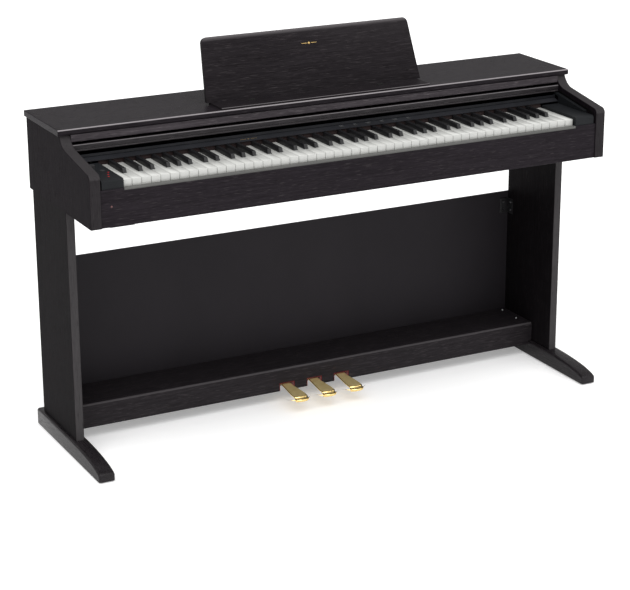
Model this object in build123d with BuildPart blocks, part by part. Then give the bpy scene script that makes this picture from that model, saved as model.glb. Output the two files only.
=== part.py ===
from build123d import *
from math import cos, radians, sin, tan
import os

# Cabinet-style digital piano: a keyboard body between two side arms, on two legs with long
# feet, joined by a pedal board and a back panel. Millimetres. X runs along the keyboard
# (right end positive), Y runs from the player to the back, Z is up from the floor.

os.makedirs("parts", exist_ok=True)

# ---------------------------------------------------------------- overall sizes
cabinet_width = 1417.0        # over the top panel, and over the feet
cabinet_height = 821.0        # floor to the top panel's upper face
cabinet_depth = 432.0         # feet, front to back
foot_heel = 20.5              # how far the feet stand out behind the body
body_height = 195.0           # keyboard body, underside to the top panel's upper face

board = 15.0                  # thickness of the top, bottom and rear boards
arm_thickness = 27.0
arm_inset = 5.5               # top panel overhang past each arm
top_depth = 234.0             # top panel, front to back
rail_thickness = 12.0
rail_recess = 3.0             # front rail stands back from the arm noses
fascia_drop = 18.0            # height of the strip under the top panel's front
fascia_setback = 2.0

leg_thickness = 21.6
leg_inset = 4.2               # leg stands in from the arm's outer face
leg_depth = 226.5
leg_setback = 9.0             # leg's back edge, in front of the body's back
foot_width = 41.0
foot_height = 43.0
foot_nose_height = 19.0
foot_pad = 3.0                # glide pads under the feet
panel_thickness = 5.0         # back panel
panel_drop = 187.0            # open height between the back panel and the body
panel_foot_gap = 1.5          # back panel's bottom edge above the feet

# ---------------------------------------------------------------- keyboard sizes
key_pitch = 23.7              # one natural key with its gap
key_gap = 1.0
natural_count = 52
natural_rise = 105.0          # tops of the naturals above the body's underside
natural_height = 22.0
natural_wall = 2.2
key_front = -199.3
natural_head = 52.5           # wide part in front of the sharps
key_back = -52.0              # where the visible tops end
sharp_width = 11.0
sharp_rise = 10.4             # above the naturals
sharp_clearance = 1.2         # each side, to the naturals
pair_shift = 3.2              # outward offset of the two sharps in C-D-E
trio_shift = 4.2              # outward offset of the outer sharps in F-G-A-B
lever_gap = 4.825             # between neighbouring levers
lever_height = 14.0
lever_drop = 5.0              # levers below the natural tops
pivot_y = 30.0
rod_radius = 3.0
rod_fit = 0.08                # running clearance of the keys on their rod
key_tail = 9.0                # lever length behind the rod
single_first = 23             # natural number of middle C, the first key hung by itself
single_count = 3              # C, D and E, with their two sharps
key_side_gap = 1.3            # keyboard to cheek block
octave_notes = "ABCDEFG"

# ---------------------------------------------------------------- cover, rest, pedals
cover_slope = 9.0             # degrees, falling towards the player
cover_board = 10.0
cover_length = 190.0
cover_front = -34.0           # board's front end when pushed in
cover_lift = 34.0             # board's underside above the natural tops, at its front end
cover_gap = 0.5               # to the guides and arms
bar_depth = 9.0
bar_height = 18.0             # pull bar's top above the board's underside
bar_lift = 1.5                # its lower edge above the board's underside
guide_width = 9.0
cheek_lift = 6.5              # cheek blocks above the natural tops
cheek_slit = 4.5              # dark gap between each block and its arm
rail_drop = 15.5              # front rail's top below the natural tops
slip_height = 6.0

rest_width = 600.0
rest_top_width = 574.0
rest_length = 160.0           # along its slope
rest_lean = 19.3              # degrees back from upright
rest_thickness = 12.0
rest_foot_y = 31.0            # front face where it meets the ledge
ledge_thickness = 5.0
ledge_inset = 11.0            # ledge ends stand in from the rest's ends
ledge_setback = 4.0           # ledge front behind the top panel's front
pin_radius = 4.0
pin_length = 11.0
pin_fit = 0.15
pin_spacing = 400.0
pin_setback = 10.0            # pins in front of the rest's foot

pedal_pitch = 80.0
pedal_width = 38.0
pedal_neck = 27.0
pedal_reach = 97.0            # tip in front of the pedal board
pedal_board_front = 48.3
pedal_board_bottom = 33.4
pedal_board_top = 95.5
notch_width = 44.0
notch_height = 22.0
felt = 2.0                    # notch lining
axle_radius = 4.0
axle_fit = 0.06
axle_y = 140.0
axle_z = 58.0

# ---------------------------------------------------------------- places worked out once
body_bottom = cabinet_height - body_height
natural_top = body_bottom + natural_rise
lever_top = natural_top - lever_drop
lever_width = key_pitch * len(octave_notes) / 12 - lever_gap
cover_under = natural_top + cover_lift
cheek_top = natural_top + cheek_lift
panel_top = body_bottom - panel_drop
half_width = cabinet_width / 2
half_depth = cabinet_depth / 2
body_back = half_depth - foot_heel
top_under = cabinet_height - board
top_front = body_back - top_depth
arm_outer = half_width - arm_inset
arm_inner = arm_outer - arm_thickness
rail_front = -half_depth + rail_recess
rail_back = rail_front + rail_thickness
floor_top = body_bottom + board                 # upper face of the bottom board
rear_face = body_back - board                   # inner face of the rear board
leg_outer = arm_outer - leg_inset
leg_inner = leg_outer - leg_thickness
leg_back = body_back - leg_setback
leg_front = leg_back - leg_depth
foot_inner = half_width - foot_width
keys_half = natural_count * key_pitch / 2
cheek_inner = keys_half + key_side_gap
rail_top = natural_top - rail_drop
sharp_front = key_front + natural_head
sharp_top = natural_top + sharp_rise
slot_half = sharp_width / 2 + sharp_clearance
lever_bottom = lever_top - lever_height
pin_y = rest_foot_y - pin_setback
rod_z = lever_top - lever_height / 2
slope = tan(radians(cover_slope))
guide_inner = arm_inner - guide_width
name_front = key_back - 3.0
name_under = sharp_top + 1.0


def cover_under_at(y):
    return cover_under + (y - cover_front) * slope


def block(low, high, mode=Mode.ADD):
    # box between two corners, joined to or cut from the open part
    centre = tuple((a + b) / 2 for a, b in zip(low, high))
    size = tuple(b - a for a, b in zip(low, high))
    with Locations(centre):
        Box(*size, mode=mode)


def rod(centre, radius, length, along, mode=Mode.ADD):
    # cylinder centred on a point, lying along an axis
    turn = {"x": (0, 90, 0), "y": (90, 0, 0), "z": (0, 0, 0)}[along]
    with Locations(Location(centre, turn)):
        Cylinder(radius, length, mode=mode)


def write(piece, name):
    piece.part.label = name
    export_step(piece.part, f"parts/{name}.step")


# ================================================================ cabinet boards
edge_round = 5.0
side_round = 2.0
with BuildPart() as top_panel:
    block((-half_width, top_front, top_under), (half_width, body_back, cabinet_height))
    front_edges = top_panel.edges().filter_by(Axis.X).group_by(Axis.Y)[0]
    fillet(front_edges, edge_round)
    side_edges = top_panel.faces().sort_by(Axis.Z)[-1].edges().filter_by(Axis.Y)
    fillet(side_edges, side_round)
    for side in (-1, 1):
        rod((side * pin_spacing / 2, pin_y, cabinet_height), pin_radius + pin_fit,
            2 * (pin_length + 1), "z", Mode.SUBTRACT)
write(top_panel, "top_panel")

# Side arm: level under the top panel, a hollow cove, then a gentle slope to a round nose.
cove_top_y = top_front + 8.5
cove_end_y = -66.0
cove_end_z = cabinet_height - 44.0
nose_z = cabinet_height - 68.5
nose_round = 13.0
arm_round = 1.5


def arm_outline():
    with BuildLine() as outline:
        back_bottom = (body_back, body_bottom)
        front_bottom = (-half_depth, body_bottom)
        nose = (-half_depth, nose_z)
        cove_end = (cove_end_y, cove_end_z)
        cove_top = (cove_top_y, top_under)
        fall = ((nose[0] - cove_end[0]), (nose[1] - cove_end[1]))
        Polyline(cove_top, (body_back, top_under), back_bottom, front_bottom, nose, cove_end)
        TangentArc(cove_end, cove_top, tangent=(-fall[0], -fall[1]))
    return outline.line


for side, arm_name in ((-1, "left_arm"), (1, "right_arm")):
    near, far = sorted((side * arm_inner, side * arm_outer))
    with BuildPart() as arm:
        with BuildSketch(Plane.YZ.offset(near)):
            with BuildLine():
                add(arm_outline())
            make_face()
        extrude(amount=far - near)
        nose_edge = arm.edges().filter_by(Axis.X).filter_by(
            lambda edge: abs(edge.center().Y + half_depth) < 0.1 and edge.center().Z > nose_z - 1)
        fillet(nose_edge, nose_round)
        front_faces = arm.faces().filter_by(Axis.X)
        fillet(front_faces.edges().filter_by(lambda edge: edge.center().Y < top_front - 2), arm_round)
    write(arm, arm_name)

speaker_x = 330.0
speaker_y = 118.0
speaker_hole = 52.0
with BuildPart() as bottom_board:
    block((-arm_inner, rail_back, body_bottom), (arm_inner, body_back, floor_top))
    for side in (-1, 1):
        rod((side * speaker_x, speaker_y, body_bottom), speaker_hole, 3 * board, "z", Mode.SUBTRACT)
write(bottom_board, "bottom_board")

socket_z = floor_top + 22.0
socket_places = {"dc_inlet": -560.0, "usb_socket": -500.0, "pedal_socket": -430.0}
socket_sizes = {"dc_inlet": (14.0, 12.0), "usb_socket": (14.0, 13.0), "pedal_socket": (26.0, 12.0)}
with BuildPart() as rear_board:
    block((-arm_inner, rear_face, floor_top), (arm_inner, body_back, top_under))
    for socket, x in socket_places.items():
        wide, high = socket_sizes[socket]
        block((x - wide / 2, rear_face - 1, socket_z - high / 2),
              (x + wide / 2, body_back + 1, socket_z + high / 2), Mode.SUBTRACT)
write(rear_board, "rear_board")

with BuildPart() as fascia:
    block((-arm_inner, top_front + fascia_setback, top_under - fascia_drop),
          (arm_inner, top_front + fascia_setback + board, top_under))
    fillet(fascia.edges().filter_by(Axis.X).group_by(Axis.Z)[0].sort_by(Axis.Y)[0], 3.0)
write(fascia, "fascia")

# Front rail, stepped down along the keys for the key slip.
lamp_radius = 2.5
lamp_x = -650.0
lamp_z = body_bottom + 49.0
with BuildPart() as front_rail:
    block((-arm_inner, rail_front, body_bottom), (arm_inner, rail_back, rail_top))
    block((-cheek_inner, rail_front - 1, rail_top - slip_height),
          (cheek_inner, rail_back + 1, rail_top + 1), Mode.SUBTRACT)
    chamfer(front_rail.edges().filter_by(Axis.X).group_by(Axis.Z)[0].sort_by(Axis.Y)[0], 1.0)
    rod((lamp_x, rail_front, lamp_z), lamp_radius, 2 * 8.0, "y", Mode.SUBTRACT)
write(front_rail, "front_rail")

with BuildPart() as key_slip:
    block((-cheek_inner, rail_front + 1.5, rail_top - slip_height),
          (cheek_inner, rail_back - 0.3, rail_top - 0.6))
    fillet(key_slip.edges().filter_by(Axis.X).group_by(Axis.Z)[-1].sort_by(Axis.Y)[0], 1.5)
write(key_slip, "key_slip")

with BuildPart() as power_lamp:
    rod((lamp_x, rail_front + 3.6, lamp_z), lamp_radius, 8.8, "y")
    fillet(power_lamp.edges().sort_by(Axis.Y)[0], 0.8)
write(power_lamp, "power_lamp")

# ================================================================ cheek blocks and guides
power_x, power_y = -637.0, -129.0
power_radius = 6.0
power_height = 9.0
power_stand = 1.9             # button's top above the cheek block
volume_x, volume_y = -650.0, -92.0
volume_radius = 8.5
volume_stem = 3.0
volume_stem_length = 8.0
volume_height = 6.0
volume_gap = 0.4              # knob's underside above the cheek block
pointer_width = 1.2
volume_fit = 0.08
control_fit = 0.35
control_depth = 9.0
cheek_front = rail_front + 2.0
cheek_back = name_front - 0.3


def cheek(side):
    near, far = sorted((side * cheek_inner, side * (arm_inner - cheek_slit)))
    with BuildPart() as piece:
        with BuildSketch(Plane.YZ.offset(near)):
            with BuildLine():
                Polyline((cheek_front, rail_top), (cheek_back, rail_top),
                         (cheek_back, cheek_top), (cheek_front, cheek_top), close=True)
            make_face()
        extrude(amount=far - near)
        fillet(piece.edges().filter_by(Axis.X).group_by(Axis.Z)[-1].sort_by(Axis.Y)[0], 7.0)
        if side < 0:
            rod((power_x, power_y, cheek_top), power_radius + control_fit, 2 * control_depth,
                "z", Mode.SUBTRACT)
            rod((volume_x, volume_y, cheek_top), volume_stem + volume_fit, 2 * control_depth,
                "z", Mode.SUBTRACT)
    return piece


write(cheek(-1), "left_cheek_block")
write(cheek(1), "right_cheek_block")

guide_front = rail_front + 40.0
guide_back = 150.0
runner_height = 6.0
with BuildPart() as cover_guides:
    # sloping runners against the arms, which carry the cover's two ends
    with BuildSketch(Plane.YZ.offset(guide_inner)):
        with BuildLine():
            Polyline((guide_front, cheek_top), (cheek_back, cheek_top),
                     (cheek_back, cover_under_at(cheek_back) - runner_height),
                     (guide_back, cover_under_at(guide_back) - runner_height),
                     (guide_back, cover_under_at(guide_back) - cover_gap),
                     (guide_front, cover_under_at(guide_front) - cover_gap), close=True)
        make_face()
    extrude(amount=guide_width)
    mirror(about=Plane.YZ)
write(cover_guides, "cover_guides")

with BuildPart() as power_button:
    rod((power_x, power_y, cheek_top + power_stand - power_height / 2), power_radius, power_height, "z")
    fillet(power_button.edges().sort_by(Axis.Z)[-1], 0.8)
write(power_button, "power_button")

with BuildPart() as volume_knob:
    knob_top = cheek_top + volume_gap + volume_height
    rod((volume_x, volume_y, knob_top - volume_height / 2), volume_radius, volume_height, "z")
    rod((volume_x, volume_y, cheek_top + 1 - volume_stem_length / 2), volume_stem, volume_stem_length, "z")
    chamfer(volume_knob.edges().sort_by(Axis.Z)[-1], 0.8)
    block((volume_x - pointer_width / 2, volume_y - volume_radius, knob_top - 0.6),
          (volume_x + pointer_width / 2, volume_y - volume_radius / 3, knob_top + 1), Mode.SUBTRACT)
write(volume_knob, "volume_knob")

# ================================================================ name board
rail_lip_y = -41.0
name_rail_top = natural_top + 26.0
name_line = natural_top + 18.5
name_back = -22.0
name_rail_depth = 3.5
name_channel = 5.5            # channel behind the level rail
button_xs = [30.0 + 38.0 * step for step in range(6)]
button_size = (11.0, 5.0)
button_fit = 0.3
button_depth = 3.6
face_mid_y = (name_front + rail_lip_y) / 2
face_mid_z = (name_under + 1.2 + name_line) / 2
face_rise = name_line - name_under - 1.2
face_run = rail_lip_y - name_front
face_angle = Vector(face_run, face_rise).get_angle(Vector(1, 0))
face_plane = Plane(origin=(0, face_mid_y, face_mid_z), x_dir=(1, 0, 0),
                   z_dir=(0, -sin(radians(face_angle)), cos(radians(face_angle))))
with BuildPart() as name_board:
    # one moulding: the sloping control face, a thin shadow line, the level rail and its channel
    with BuildSketch(Plane.YZ.offset(-guide_inner)):
        with BuildLine():
            Polyline((name_front, name_under), (name_front, name_under + 1.2),
                     (rail_lip_y, name_line), (rail_lip_y + 2.5, name_line + 0.2),
                     (rail_lip_y + 2.5, name_line + 1.2), (rail_lip_y, name_line + 1.4),
                     (rail_lip_y, name_rail_top), (rail_lip_y + name_rail_depth, name_rail_top),
                     (rail_lip_y + name_rail_depth, name_rail_top - name_channel),
                     (name_back, name_rail_top - name_channel), (name_back, name_under), close=True)
        make_face()
    extrude(amount=2 * guide_inner)
    with BuildSketch(face_plane.offset(1)):
        with Locations(*[(x, 0) for x in button_xs]):
            Rectangle(button_size[0] + 2 * button_fit, button_size[1] + 2 * button_fit)
    extrude(amount=-button_depth, mode=Mode.SUBTRACT)
write(name_board, "name_board")

with BuildPart() as panel_buttons:
    with BuildSketch(face_plane.offset(0.9)):
        with Locations(*[(x, 0) for x in button_xs]):
            RectangleRounded(button_size[0], button_size[1], 0.8)
    extrude(amount=-(button_depth - 1.4))
write(panel_buttons, "panel_buttons")

# ================================================================ key action
chassis_plate = 3.0
chassis_top = floor_top + chassis_plate
chassis_front = rail_back + 4.0
chassis_back = pivot_y + 20.0
stop_top = natural_top - 37.0
side_plate = 3.0
support_width = 3.0
rib_top = chassis_top + 20.0


def sharp_shift(note):
    # offset of the sharp that follows a natural, from the line between the two naturals
    return {"C": -pair_shift, "D": pair_shift, "F": -trio_shift, "G": 0.0, "A": trio_shift}[note]


def natural_note(number):
    return octave_notes[number % 7]


def natural_left(number):
    return -keys_half + number * key_pitch


def has_sharp(number):
    return natural_note(number) in "ACDFG" and 0 <= number < natural_count - 1


def sharp_centre(number):
    return natural_left(number + 1) + sharp_shift(natural_note(number))


def tail_edges(number):
    left = natural_left(number) + key_gap / 2
    right = natural_left(number + 1) - key_gap / 2
    if has_sharp(number - 1):
        left = sharp_centre(number - 1) + slot_half
    if has_sharp(number):
        right = sharp_centre(number) - slot_half
    return left, right


sharp_nose = 4.0              # how far the front face leans back
sharp_foot = natural_top - 3.0


def add_lever(centre):
    # narrow rear lever with the bore that turns on the rod
    block((centre - lever_width / 2, key_back - 0.5, lever_bottom),
          (centre + lever_width / 2, pivot_y + key_tail, lever_top))
    rod((centre, pivot_y, rod_z), rod_radius + rod_fit, 2 * lever_width, "x", Mode.SUBTRACT)


def natural_shape(number):
    # hollow plastic key: wide head, tail between the sharps, rear lever
    left = natural_left(number) + key_gap / 2
    right = natural_left(number + 1) - key_gap / 2
    tail_left, tail_right = tail_edges(number)
    bottom = natural_top - natural_height
    head_back = sharp_front - key_gap
    ceiling = natural_top - natural_wall
    with BuildPart() as shape:
        block((left, key_front, bottom), (right, head_back, natural_top))
        fillet(shape.edges().filter_by(Axis.X).group_by(Axis.Z)[-1].sort_by(Axis.Y)[0], 1.0)
        block((tail_left, head_back, bottom), (tail_right, key_back, natural_top))
        add_lever((tail_left + tail_right) / 2)
        block((left + natural_wall, key_front + natural_wall, bottom - 1),
              (right - natural_wall, head_back - natural_wall, ceiling), Mode.SUBTRACT)
        block((tail_left + natural_wall, sharp_front, bottom - 1),
              (tail_right - natural_wall, key_back - natural_wall, ceiling), Mode.SUBTRACT)
    return shape.part


def sharp_shape(number):
    # solid cap that leans back at the front, on a narrow stem and lever
    centre = sharp_centre(number)
    half = sharp_width / 2
    with BuildPart() as shape:
        with BuildSketch(Plane.YZ.offset(centre - half)):
            with BuildLine():
                Polyline((sharp_front + 0.6, sharp_foot), (sharp_front + 0.6, natural_top),
                         (sharp_front + sharp_nose, sharp_top - 1.6),
                         (sharp_front + sharp_nose + 3.5, sharp_top - 0.4),
                         (key_back, sharp_top), (key_back, sharp_foot), close=True)
            make_face()
        extrude(amount=sharp_width)
        upper_edges = shape.edges().filter_by(
            lambda edge: edge.center().Z > natural_top + 2 and abs(edge.center().X - centre) > half - 0.1)
        chamfer(upper_edges, 1.0)
        block((centre - lever_width / 2, sharp_front + 4, lever_bottom),
              (centre + lever_width / 2, key_back, sharp_foot))
        add_lever(centre)
    return shape.part


def tail_width(number):
    left, right = tail_edges(number)
    return round(right - left, 3)


def write_keys(numbers, shape_of, name):
    # the same note's key repeats every octave, so each shape is made once and copied along X
    alike = {}
    for number in numbers:
        alike.setdefault((natural_note(number), tail_width(number)), []).append(number)
    shapes = [(shape_of(same[0]), same) for same in alike.values()]
    with BuildPart() as group:
        for shape, same in shapes:
            with Locations(*[((number - same[0]) * key_pitch, 0, 0) for number in same]):
                add(shape)
    write(group, name)


single_numbers = range(single_first, single_first + single_count)
bass_numbers = range(single_first)
treble_numbers = range(single_first + single_count, natural_count)
write_keys(bass_numbers, natural_shape, "bass_naturals")
write_keys(treble_numbers, natural_shape, "treble_naturals")
write_keys(filter(has_sharp, bass_numbers), sharp_shape, "bass_sharps")
write_keys(filter(has_sharp, treble_numbers), sharp_shape, "treble_sharps")
for number in single_numbers:
    note = natural_note(number).lower()
    write_keys([number], natural_shape, f"key_{note}")
    if has_sharp(number):
        write_keys([number], sharp_shape, f"key_{note}_sharp")

support_xs = [natural_left(number) for number in range(2, natural_count, 7)]
with BuildPart() as keyboard_chassis:
    # folded steel tray: front stop rail, two hammer ribs, and posts that hold the rod
    block((-keys_half, chassis_front, floor_top), (keys_half, chassis_back, chassis_top))
    block((-keys_half, chassis_front, floor_top), (keys_half, chassis_front + 3, stop_top))
    block((-keys_half, chassis_front, stop_top - 3), (keys_half, chassis_front + 26, stop_top))
    for rib_y in (-130.0, -40.0):
        block((-keys_half, rib_y, chassis_top), (keys_half, rib_y + 10, rib_top))
    block((-keys_half, chassis_back - 3, chassis_top), (keys_half, chassis_back, rod_z + 8))
    for x in support_xs:
        block((x + 0.25 - support_width / 2, pivot_y - 8, chassis_top),
              (x + 0.25 + support_width / 2, chassis_back, rod_z + 8))
    for side in (-1, 1):
        near, far = sorted((side * keys_half, side * (keys_half + side_plate)))
        block((near, pivot_y - 15, floor_top), (far, chassis_back, rod_z + 8))
    rod((0, pivot_y, rod_z), rod_radius, 2 * (keys_half + 2 * side_plate), "x", Mode.SUBTRACT)
write(keyboard_chassis, "keyboard_chassis")

with BuildPart() as key_rod:
    rod((0, pivot_y, rod_z), rod_radius, 2 * (keys_half + side_plate + 2), "x")
write(key_rod, "key_rod")

with BuildPart() as key_felts:
    # strip the pressed keys land on, and the strip behind the visible tops
    block((-keys_half, chassis_front + 2, stop_top), (keys_half, chassis_front + 22, stop_top + 4.3))
    block((-keys_half, key_back + 1.5, lever_top + 2.0), (keys_half, key_back + 5.0, name_under))
write(key_felts, "key_felts")

hammer_inset = 1.0            # each side, from the lever above
hammer_size = (lever_width - 2 * hammer_inset, 128.0, 11.0)
hammer_front = -144.0
lever_centres = [sum(tail_edges(number)) / 2 for number in range(natural_count)]
lever_centres += [sharp_centre(number) for number in range(natural_count) if has_sharp(number)]
with BuildPart() as hammer_levers:
    # one weighted lever under each key, lying on the tray's two ribs
    with Locations(*[(centre, hammer_front + hammer_size[1] / 2, rib_top + hammer_size[2] / 2)
                     for centre in sorted(lever_centres)]):
        Box(*hammer_size)
write(hammer_levers, "hammer_levers")

contact_y = (-118.0, -72.0)
contact_z = natural_top - 33.5
contact_plate = 1.6
post_width = 2.4
dome_radius = 3.4
dome_height = 2.6
with BuildPart() as contact_board:
    block((-keys_half + 4, contact_y[0], contact_z), (keys_half - 4, contact_y[1], contact_z + contact_plate))
    with Locations(*[(x, y, (chassis_top + contact_z) / 2)
                     for x in support_xs for y in (contact_y[0] + 7, contact_y[1] - 7)]):
        Box(post_width, 6.0, contact_z - chassis_top)
    with Locations(*[(centre, -90.0, contact_z + contact_plate + dome_height / 2)
                     for centre in sorted(lever_centres)]):
        Cylinder(dome_radius, dome_height)
write(contact_board, "contact_board")

# ================================================================ electronics
speaker_height = 46.0
speaker_rim = 60.0
magnet_radius = 30.0
magnet_height = 16.0
basket = 4.0                  # pressed frame and cone thickness
with BuildPart() as speakers:
    # round frame on the bottom board, cone opening downwards, magnet on top
    for side in (-1, 1):
        with BuildSketch(Plane.XZ.offset(-speaker_y)):
            with BuildLine():
                magnet_under = floor_top + speaker_height - magnet_height
                Polyline((side * speaker_x, floor_top + speaker_height),
                         (side * (speaker_x + magnet_radius), floor_top + speaker_height),
                         (side * (speaker_x + magnet_radius), magnet_under),
                         (side * (speaker_x + magnet_radius - 6), magnet_under),
                         (side * (speaker_x + speaker_rim - 10), floor_top + basket),
                         (side * (speaker_x + speaker_rim), floor_top + basket),
                         (side * (speaker_x + speaker_rim), floor_top),
                         (side * (speaker_x + speaker_rim - 12), floor_top),
                         (side * (speaker_x + magnet_radius - 14), magnet_under - basket),
                         (side * speaker_x, magnet_under - basket), close=True)
            make_face()
        revolve(axis=Axis((side * speaker_x, speaker_y, 0), (0, 0, 1)))
write(speakers, "speakers")

grille_thickness = 1.5
grille_pitch = 13.0
grille_bore = 4.0
grille_lift = 2.0             # grille's middle above the board's underside
with BuildPart() as speaker_grilles:
    for side in (-1, 1):
        rod((side * speaker_x, speaker_y, body_bottom + grille_lift), speaker_hole, grille_thickness, "z")
        with Locations((side * speaker_x, speaker_y, body_bottom + grille_lift)):
            with GridLocations(grille_pitch, grille_pitch, 5, 5):
                Cylinder(grille_bore, 3 * grille_thickness, mode=Mode.SUBTRACT)
write(speaker_grilles, "speaker_grilles")

main_board_z = floor_top + 8.0
board_x = (-600.0, -410.0)
board_y = (70.0, 165.0)
board_plate = 1.6
board_post = 10.0             # posts in from the board's edges
chip = (30.0, 30.0, 2.6)
fin = (3.0, 50.0, 24.0)
fin_pitch = 8.0
with BuildPart() as main_board:
    # circuit board on four posts, with a processor and a finned heat sink
    board_middle = sum(board_x) / 2
    plate_top = main_board_z + board_plate
    block((board_x[0], board_y[0], main_board_z), (board_x[1], board_y[1], plate_top))
    with Locations((board_middle, 110, plate_top + chip[2] / 2)):
        Box(*chip)
    fin_xs = [board_middle + 43 + step * fin_pitch for step in range(4)]
    with Locations(*[(x, 110, plate_top + fin[2] / 2) for x in fin_xs]):
        Box(*fin)
    with Locations(*[(x, y, (floor_top + main_board_z) / 2)
                     for x in (board_x[0] + board_post, board_x[1] - board_post)
                     for y in (board_y[0] + board_post, board_y[1] - board_post)]):
        Cylinder(3.0, main_board_z - floor_top)
write(main_board, "main_board")

socket_tail = 8.0             # socket housings behind the rear board's inner face
inlet_bore = 3.3
inlet_depth = 12.0
inlet_pin = 1.0
usb_mouth = (8.8, 12.0, 8.0)
usb_tongue = (5.6, 10.0, 3.2)
plug_mouth = (21.0, 10.0, 7.0)


def housing(socket):
    # body of a rear socket, flush with the rear board's outer face
    x = socket_places[socket]
    wide, high = socket_sizes[socket]
    block((x - wide / 2, rear_face - socket_tail, socket_z - high / 2),
          (x + wide / 2, body_back, socket_z + high / 2))
    return x


def mouth(x, size, mode=Mode.SUBTRACT, inset=0.0):
    # rectangular opening, or tongue, centred on a rear socket
    wide, deep, high = size
    block((x - wide / 2, body_back - inset - deep, socket_z - high / 2),
          (x + wide / 2, body_back - inset + (mode == Mode.SUBTRACT), socket_z + high / 2), mode)


with BuildPart() as dc_inlet:
    inlet_x = housing("dc_inlet")
    rod((inlet_x, body_back, socket_z), inlet_bore, 2 * inlet_depth, "y", Mode.SUBTRACT)
    rod((inlet_x, body_back - 1 - inlet_depth / 2, socket_z), inlet_pin, inlet_depth, "y")
write(dc_inlet, "dc_inlet")

with BuildPart() as usb_socket:
    usb_x = housing("usb_socket")
    mouth(usb_x, usb_mouth)
    mouth(usb_x, usb_tongue, Mode.ADD, inset=3.0)
write(usb_socket, "usb_socket")

with BuildPart() as pedal_socket:
    mouth(housing("pedal_socket"), plug_mouth)
write(pedal_socket, "pedal_socket")

jack_bore = 3.25
jack_depth = 32.0
jack_xs = (-612.0, -588.0)
jack_radius = 6.0
jack_length = 37.0
box_x = (-632.0, -568.0)
box_front = -150.0
box_depth = 55.0
box_bottom = body_bottom - 21.0
jack_z = box_bottom + 10.0
with BuildPart() as headphone_box:
    block((box_x[0], box_front, box_bottom), (box_x[1], box_front + box_depth, body_bottom))
    fillet(headphone_box.edges().filter_by(Axis.Z), 4.0)
    for x in jack_xs:
        rod((x, box_front, jack_z), jack_radius, 2 * (jack_length - 1), "y", Mode.SUBTRACT)
write(headphone_box, "headphone_box")

with BuildPart() as headphone_jacks:
    for x in jack_xs:
        rod((x, box_front - 1 + jack_length / 2, jack_z), jack_radius, jack_length, "y")
        rod((x, box_front, jack_z), jack_bore, 2 * jack_depth, "y", Mode.SUBTRACT)
write(headphone_jacks, "headphone_jacks")

# ================================================================ key cover
cover_plane = Plane(origin=(0, cover_front, cover_under), x_dir=(1, 0, 0),
                    z_dir=(0, -sin(radians(cover_slope)), cos(radians(cover_slope))))
cover_half = arm_inner - 1.0
with BuildPart() as key_cover:
    with BuildSketch(cover_plane):
        with Locations((0, cover_length / 2)):
            Rectangle(2 * cover_half, cover_length)
    extrude(amount=cover_board)
write(key_cover, "key_cover")

bar_bead = 2.6
bar_groove = 1.8
bar_round = 3.0
with BuildPart() as cover_bar:
    # pull bar along the cover's front end, rounded above, with a groove over its lower bead
    with BuildSketch(Plane.YZ.offset(-cover_half)):
        with BuildLine():
            lead = cover_front - bar_depth
            low = cover_under + bar_lift
            high = cover_under + bar_height
            Polyline((cover_front - bar_lift * slope, low), (lead + 0.6, low), (lead, low + 0.6),
                     (lead, low + bar_bead), (lead + bar_groove, low + bar_bead + 0.7),
                     (lead + bar_groove, low + bar_bead + 2.3), (lead, low + bar_bead + 3),
                     (lead, high - bar_round))
            RadiusArc((lead, high - bar_round), (lead + bar_round, high), bar_round)
            Polyline((lead + bar_round, high), (cover_front - bar_height * slope, high),
                     (cover_front - bar_lift * slope, low))
        make_face()
    extrude(amount=2 * cover_half)
write(cover_bar, "cover_bar")

# ================================================================ music rest
lean = radians(rest_lean)
rest_plane = Plane(origin=(0, rest_foot_y, cabinet_height + ledge_thickness), x_dir=(1, 0, 0),
                   z_dir=(0, -cos(lean), sin(lean)))
rest_corner = 13.0
with BuildPart() as music_rest:
    with BuildSketch(rest_plane):
        with BuildLine():
            Polyline((-rest_width / 2, 0), (rest_width / 2, 0), (rest_top_width / 2, rest_length),
                     (-rest_top_width / 2, rest_length), close=True)
        make_face()
    extrude(amount=-rest_thickness)
    across = Axis((0, 0, 0), rest_plane.z_dir)
    fillet(music_rest.edges().filter_by(across).sort_by(Axis.Z)[-2:], rest_corner)
    split(bisect_by=Plane.XY.offset(cabinet_height + ledge_thickness), keep=Keep.TOP)
write(music_rest, "music_rest")

with BuildPart() as rest_ledge:
    block((-rest_width / 2 + ledge_inset, top_front + ledge_setback, cabinet_height),
          (rest_width / 2 - ledge_inset, rest_foot_y + rest_thickness, cabinet_height + ledge_thickness))
    fillet(rest_ledge.edges().filter_by(Axis.X).group_by(Axis.Y)[0], 2.0)
    for side in (-1, 1):
        rod((side * pin_spacing / 2, pin_y, cabinet_height - pin_length / 2 + 1), pin_radius,
            pin_length + 2, "z")
write(rest_ledge, "rest_ledge")

stop_xs = (-186.0, 172.0)
stop_size = (18.0, 5.0, 2.4)
stop_setback = 17.0
with BuildPart() as page_stops:
    # low rubber stops on the ledge that keep pages from sliding forward
    for x in stop_xs:
        with Locations((x, rest_foot_y - stop_setback, cabinet_height + ledge_thickness + stop_size[2] / 2)):
            Box(*stop_size)
    fillet(page_stops.edges().filter_by(Axis.Z), 2.0)
write(page_stops, "page_stops")

# ================================================================ legs and feet
foot_corner = 6.0
pad_radius = 14.0
pad_inset = 30.0
leg_round = 1.5


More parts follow.
